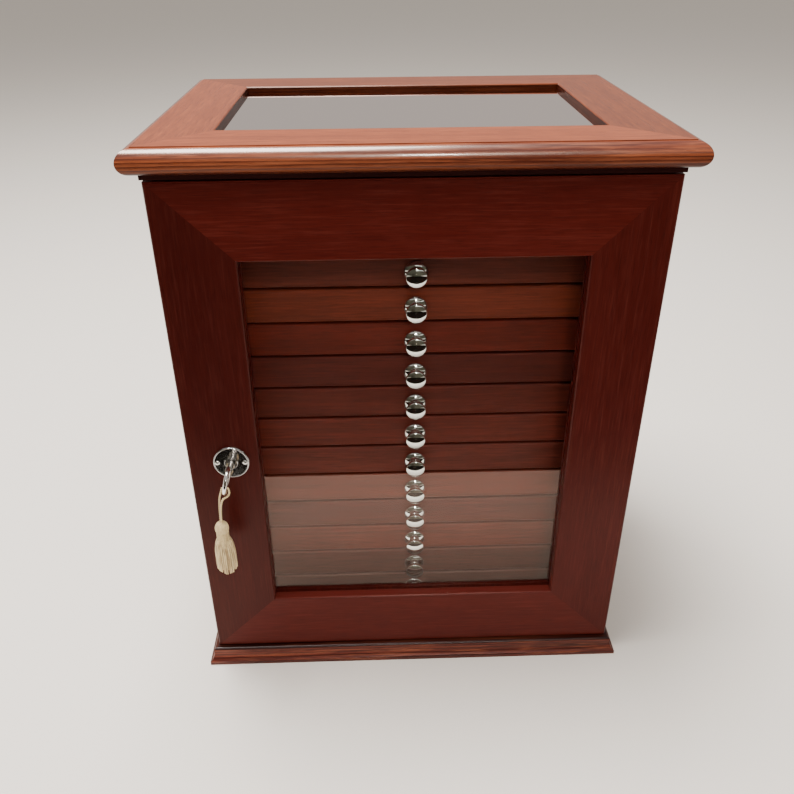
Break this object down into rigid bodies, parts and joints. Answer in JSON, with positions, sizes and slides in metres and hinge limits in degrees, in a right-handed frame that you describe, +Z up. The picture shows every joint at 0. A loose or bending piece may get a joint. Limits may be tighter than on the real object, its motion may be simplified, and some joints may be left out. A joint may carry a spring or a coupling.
{
  "type": "coin display cabinet",
  "caption": "Glazed mahogany coin cabinet with shallow velvet-lined drawers behind a locking door, display lid, tasselled key.",
  "frame": {"origin": "centre of the base board's underside", "axes": "+Z up; -Y out through the glazed door; +X to the right seen from the front, the side of the door's hinges"},
  "size_m": [0.341, 0.2752, 0.418],
  "materials": {
    "mahogany": "French-polished mahogany, deep red-brown",
    "mahogany_lid": "French-polished mahogany, warmer, with orange streaks",
    "carcass_wood": "waxed mahogany, plain",
    "runner_wood": "bare beech",
    "drawer_wood": "polished mahogany",
    "drawer_wood_dark": "polished mahogany, darker board",
    "drawer_wood_light": "polished mahogany, lighter board",
    "velvet": "burgundy velvet over card",
    "clear_glass": "clear 3 mm sheet glass",
    "knob_chrome": "polished chrome plate",
    "lock_chrome": "polished chrome plate",
    "lock_plug_steel": "nickel-plated steel",
    "key_chrome": "polished nickel plate",
    "hinge_brass": "drawn brass, slightly dull",
    "tassel_thread": "cream twisted rayon thread"
  },
  "bodies": {
    "cabinet": {"base_board": "mahogany", "carcass_bottom": "carcass_wood", "side_panel_left": "mahogany", "side_panel_right": "mahogany", "back_panel": "carcass_wood", "top_panel": "mahogany", "display_well": "carcass_wood", "well_lining": "velvet", "drawer_runners": "runner_wood", "fixed_hinge_leaves": "hinge_brass"},
    "door": {"door_frame": "mahogany", "door_glass": "clear_glass", "door_beads": "mahogany", "door_hinge_leaves": "hinge_brass", "lock_case": "lock_chrome"},
    "lock": {"lock_plug": "lock_plug_steel", "lock_cam": "lock_plug_steel"},
    "key": {"key": "key_chrome"},
    "tassel": {"tassel": "tassel_thread", "tassel_cord": "tassel_thread"},
    "lid": {"lid_frame": "mahogany_lid", "lid_glass": "clear_glass", "lid_beads": "mahogany", "lid_hinge_leaves": "hinge_brass"},
    "drawer_01": {"drawer_01": "drawer_wood_dark", "drawer_01_insert": "velvet", "drawer_01_knob": "knob_chrome"},
    "drawer_02": {"drawer_02": "drawer_wood_light", "drawer_02_insert": "velvet", "drawer_02_knob": "knob_chrome"},
    "drawer_03": {"drawer_03": "drawer_wood", "drawer_03_insert": "velvet", "drawer_03_knob": "knob_chrome"},
    "drawer_04": {"drawer_04": "drawer_wood_dark", "drawer_04_insert": "velvet", "drawer_04_knob": "knob_chrome"},
    "drawer_05": {"drawer_05": "drawer_wood", "drawer_05_insert": "velvet", "drawer_05_knob": "knob_chrome"},
    "drawer_06": {"drawer_06": "drawer_wood", "drawer_06_insert": "velvet", "drawer_06_knob": "knob_chrome"},
    "drawer_07": {"drawer_07": "drawer_wood", "drawer_07_insert": "velvet", "drawer_07_knob": "knob_chrome"},
    "drawer_08": {"drawer_08": "drawer_wood_light", "drawer_08_insert": "velvet", "drawer_08_knob": "knob_chrome"},
    "drawer_09": {"drawer_09": "drawer_wood", "drawer_09_insert": "velvet", "drawer_09_knob": "knob_chrome"},
    "drawer_10": {"drawer_10": "drawer_wood", "drawer_10_insert": "velvet", "drawer_10_knob": "knob_chrome"},
    "drawer_11": {"drawer_11": "drawer_wood", "drawer_11_insert": "velvet", "drawer_11_knob": "knob_chrome"},
    "drawer_12": {"drawer_12": "drawer_wood", "drawer_12_insert": "velvet", "drawer_12_knob": "knob_chrome"}
  },
  "joints": [
    {"name": "door_hinge", "type": "hinge", "parent": "cabinet", "child": "door", "pos_m": [0.16275, -0.09575, 0.206], "axis": [0, 0, 1], "range_deg": [0, 180]},
    {"name": "lid_hinge", "type": "hinge", "parent": "cabinet", "child": "lid", "pos_m": [0, 0.11875, 0.40175], "axis": [-1, 0, 0], "range_deg": [0, 100]},
    {"name": "key_turn", "type": "hinge", "parent": "door", "child": "lock", "pos_m": [-0.1296, -0.11, 0.1984], "axis": [0, 1, 0], "range_deg": [0, 90]},
    {"name": "key_withdrawal", "type": "slide", "parent": "lock", "child": "key", "axis": [0, -1, 0], "range_m": [0, 0.02]},
    {"name": "tassel_swing", "type": "hinge", "parent": "key", "child": "tassel", "pos_m": [-0.13143, -0.1385, 0.18979], "axis": [0, 1, 0], "range_deg": [-90, 0]},
    {"name": "drawer_01_slide", "type": "slide", "parent": "cabinet", "child": "drawer_01", "axis": [0, -1, 0], "range_m": [0, 0.16]},
    {"name": "drawer_02_slide", "type": "slide", "parent": "cabinet", "child": "drawer_02", "axis": [0, -1, 0], "range_m": [0, 0.16]},
    {"name": "drawer_03_slide", "type": "slide", "parent": "cabinet", "child": "drawer_03", "axis": [0, -1, 0], "range_m": [0, 0.16]},
    {"name": "drawer_04_slide", "type": "slide", "parent": "cabinet", "child": "drawer_04", "axis": [0, -1, 0], "range_m": [0, 0.16]},
    {"name": "drawer_05_slide", "type": "slide", "parent": "cabinet", "child": "drawer_05", "axis": [0, -1, 0], "range_m": [0, 0.16]},
    {"name": "drawer_06_slide", "type": "slide", "parent": "cabinet", "child": "drawer_06", "axis": [0, -1, 0], "range_m": [0, 0.16]},
    {"name": "drawer_07_slide", "type": "slide", "parent": "cabinet", "child": "drawer_07", "axis": [0, -1, 0], "range_m": [0, 0.16]},
    {"name": "drawer_08_slide", "type": "slide", "parent": "cabinet", "child": "drawer_08", "axis": [0, -1, 0], "range_m": [0, 0.16]},
    {"name": "drawer_09_slide", "type": "slide", "parent": "cabinet", "child": "drawer_09", "axis": [0, -1, 0], "range_m": [0, 0.16]},
    {"name": "drawer_10_slide", "type": "slide", "parent": "cabinet", "child": "drawer_10", "axis": [0, -1, 0], "range_m": [0, 0.16]},
    {"name": "drawer_11_slide", "type": "slide", "parent": "cabinet", "child": "drawer_11", "axis": [0, -1, 0], "range_m": [0, 0.16]},
    {"name": "drawer_12_slide", "type": "slide", "parent": "cabinet", "child": "drawer_12", "axis": [0, -1, 0], "range_m": [0, 0.16]}
  ],
  "couplings": [
    {"joint": "tassel_swing", "follows": "key_turn", "ratio": -1},
    {"joint": "drawer_01_slide", "follows": "door_hinge", "m_per_rad": 0.042},
    {"joint": "drawer_02_slide", "follows": "door_hinge", "m_per_rad": 0.042},
    {"joint": "drawer_03_slide", "follows": "door_hinge", "m_per_rad": 0.042},
    {"joint": "drawer_04_slide", "follows": "door_hinge", "m_per_rad": 0.042},
    {"joint": "drawer_05_slide", "follows": "door_hinge", "m_per_rad": 0.042},
    {"joint": "drawer_06_slide", "follows": "door_hinge", "m_per_rad": 0.042},
    {"joint": "drawer_07_slide", "follows": "door_hinge", "m_per_rad": 0.042},
    {"joint": "drawer_08_slide", "follows": "door_hinge", "m_per_rad": 0.042},
    {"joint": "drawer_09_slide", "follows": "door_hinge", "m_per_rad": 0.042},
    {"joint": "drawer_10_slide", "follows": "door_hinge", "m_per_rad": 0.042},
    {"joint": "drawer_11_slide", "follows": "door_hinge", "m_per_rad": 0.042},
    {"joint": "drawer_12_slide", "follows": "door_hinge", "m_per_rad": 0.042}
  ]
}
